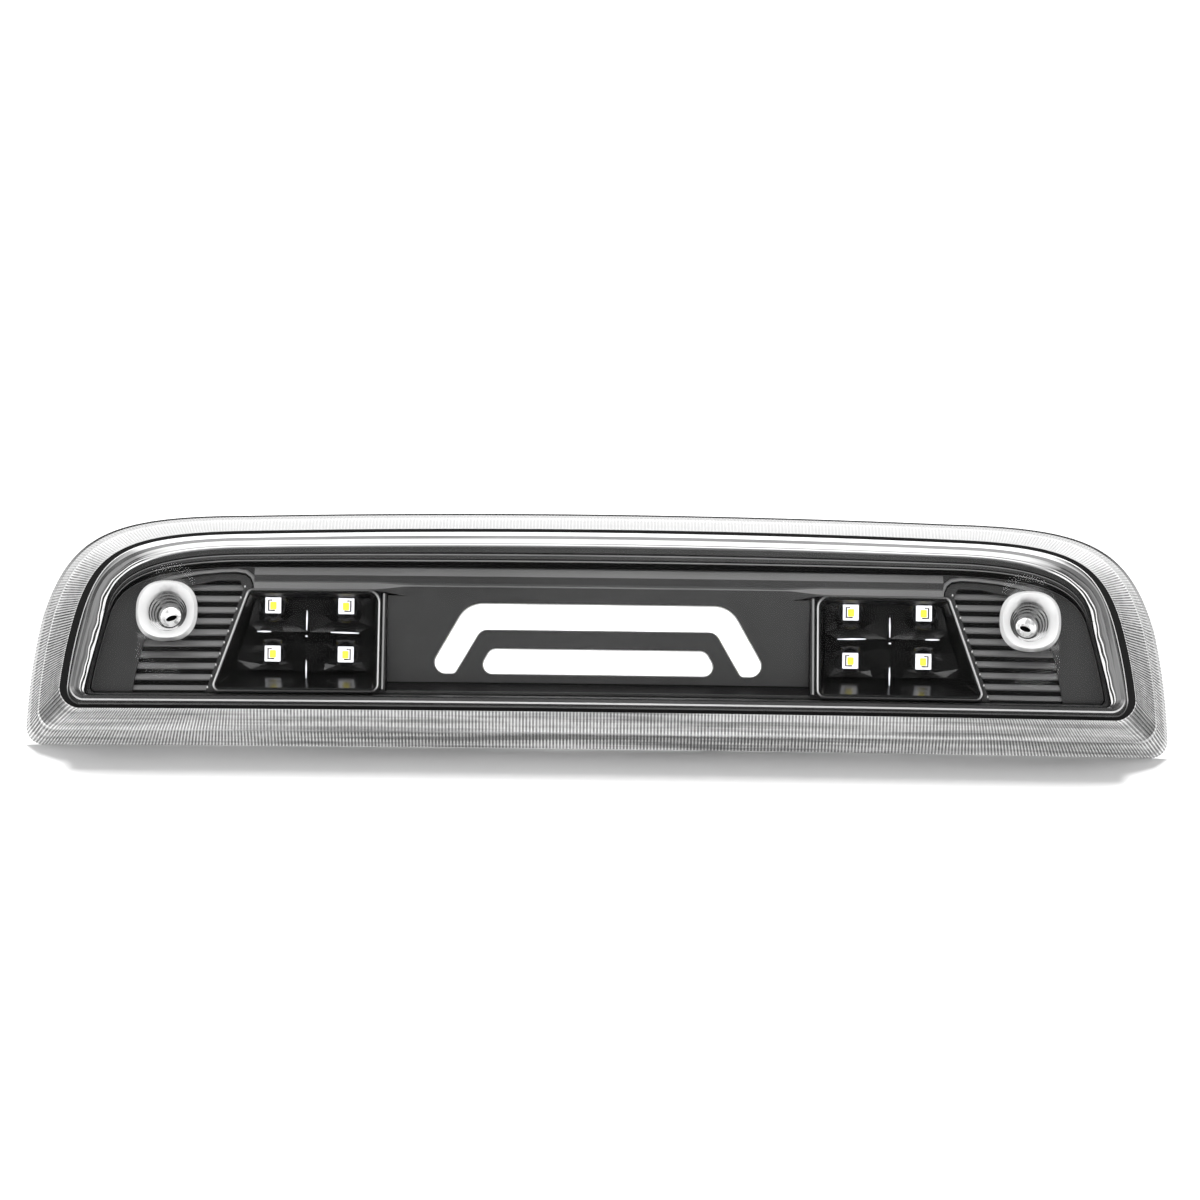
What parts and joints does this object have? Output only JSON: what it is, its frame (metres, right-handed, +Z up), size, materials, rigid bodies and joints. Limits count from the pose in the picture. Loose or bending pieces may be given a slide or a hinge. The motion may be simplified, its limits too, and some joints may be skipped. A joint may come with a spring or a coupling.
{
  "type": "third brake light",
  "caption": "Clear-lens centre high-mounted brake light with cargo lights either side, raised dome, fluted skirt and screw wells at its ends.",
  "frame": {"origin": "centre of the flat stop pad on the housing's back, midway between the two screw wells, where the lamp meets the cab panel", "axes": "+X to the right as the lamp is seen from behind the vehicle, +Z up, the lens facing -Y and leaning back 25 degrees with the cab"},
  "size_m": [0.381, 0.0514, 0.0754],
  "materials": {
    "clear_lens": "polished clear polycarbonate, fluted on the skirt",
    "black_rubber": "black butyl bead and moulded rubber",
    "housing_black": "fine spark-eroded black ABS",
    "satin_black": "satin black polycarbonate with a fine grain",
    "grey_foam": "closed-cell foam",
    "white_membrane": "breathable membrane",
    "milky_guide": "milky diffusing acrylic",
    "gloss_black": "high-gloss black reflector",
    "white_board": "white solder mask",
    "chip_black": "moulded chip body",
    "chip_ceramic": "chip resistor",
    "white_plastic": "white nylon",
    "woven_sleeve": "woven black sleeve",
    "red_wire": "wire insulation",
    "white_wire": "wire insulation",
    "black_wire": "wire insulation",
    "lock_plastic": "red nylon",
    "cargo_led": "white LED package",
    "brake_led": "white LED package",
    "zinc_steel": "zinc plated",
    "tinned_brass": "tinned brass"
  },
  "bodies": {
    "lamp": {"outer_lens": "clear_lens", "seal_bead": "black_rubber", "rear_housing": "housing_black", "inner_bezel": "satin_black", "foam_gasket": "grey_foam", "vent_patch": "white_membrane", "light_guide_arch": "milky_guide", "light_guide_bar": "milky_guide", "reflector_left": "gloss_black", "reflector_right": "gloss_black", "brake_board": "white_board", "cargo_board_left": "white_board", "cargo_board_right": "white_board", "voltage_regulator": "chip_black", "polarity_diode": "chip_black", "board_connector": "white_plastic", "dropping_resistor": "chip_ceramic", "cargo_resistor_left": "chip_ceramic", "cargo_resistor_right": "chip_ceramic", "cable_grommet": "black_rubber", "harness_sleeve": "woven_sleeve", "brake_feed_wire": "red_wire", "cargo_feed_wire": "white_wire", "ground_wire": "black_wire", "cargo_lead_left": "white_wire", "cargo_lead_right": "white_wire", "connector_housing": "housing_black", "cargo_led_left_1": "cargo_led", "cargo_led_left_2": "cargo_led", "cargo_led_left_3": "cargo_led", "cargo_led_left_4": "cargo_led", "cargo_led_right_1": "cargo_led", "cargo_led_right_2": "cargo_led", "cargo_led_right_3": "cargo_led", "cargo_led_right_4": "cargo_led", "brake_led_1": "brake_led", "brake_led_2": "brake_led", "brake_led_3": "brake_led", "brake_led_4": "brake_led", "brake_led_5": "brake_led", "brake_led_6": "brake_led", "brake_led_7": "brake_led", "brake_led_8": "brake_led", "brake_led_9": "brake_led", "brake_led_10": "brake_led", "bezel_screw_1": "zinc_steel", "bezel_screw_2": "zinc_steel", "bezel_screw_3": "zinc_steel", "bezel_screw_4": "zinc_steel", "connector_pin_1": "tinned_brass", "connector_pin_2": "tinned_brass", "connector_pin_3": "tinned_brass"},
    "position_lock": {"connector_lock": "lock_plastic"}
  },
  "joints": [
    {"name": "lock_slide", "type": "slide", "parent": "lamp", "child": "position_lock", "axis": [1, 0, 0], "range_m": [0, 0.004]}
  ]
}
